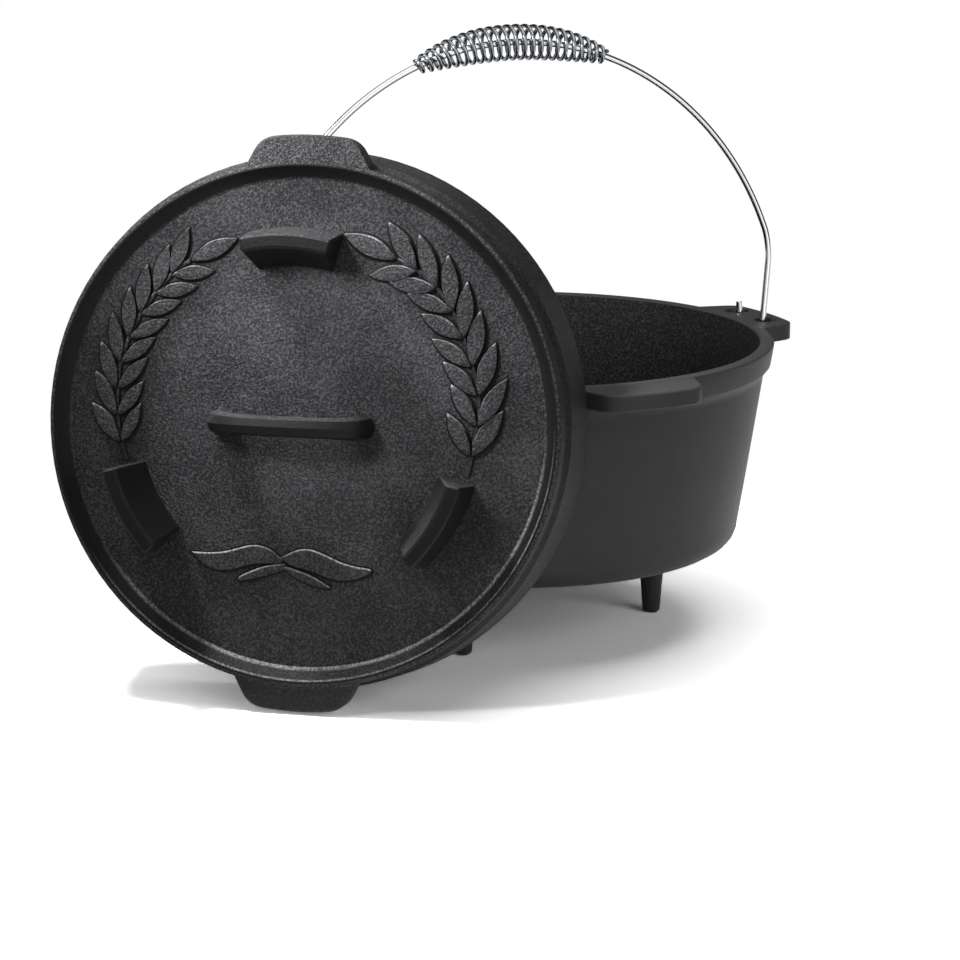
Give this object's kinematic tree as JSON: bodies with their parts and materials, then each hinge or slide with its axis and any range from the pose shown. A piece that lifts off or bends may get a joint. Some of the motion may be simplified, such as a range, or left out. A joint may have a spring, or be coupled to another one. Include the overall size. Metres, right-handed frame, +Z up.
{
  "type": "dutch oven",
  "caption": "Cast iron camp dutch oven on short feet, its deep rimmed lid stood on edge against the pot, with a swinging wire bail and a wound spring grip for carrying over a fire.",
  "frame": {"origin": "bottom centre of the box round the pot on its feet, the standing lid and the upright bail, on the floor", "axes": "+Z up; the lid's coal face looks along -Y and leans back on the pot; +X to the right of someone who faces the lid"},
  "size_m": [0.3944, 0.391, 0.3699],
  "materials": {
    "pot": "pre-seasoned, fine cast grain",
    "lid": "pre-seasoned, coarse cast grain",
    "bail_wire": "bright plated round wire",
    "spring_grip": "bright plated spring wire"
  },
  "bodies": {
    "pot": {"pot": "pot"},
    "lid": {"lid": "lid"},
    "bail": {"bail_wire": "bail_wire", "spring_grip": "spring_grip"}
  },
  "joints": [
    {"name": "bail_swing", "type": "hinge", "parent": "pot", "child": "bail", "pos_m": [0.0378, 0.03646, 0.1735], "axis": [0.7826, 0.6225, 0], "range_deg": [-82, 16]},
    {"name": "lid_lift", "type": "slide", "parent": "pot", "child": "lid", "axis": [0, 0, 1], "range_m": [0, 0.2]}
  ]
}
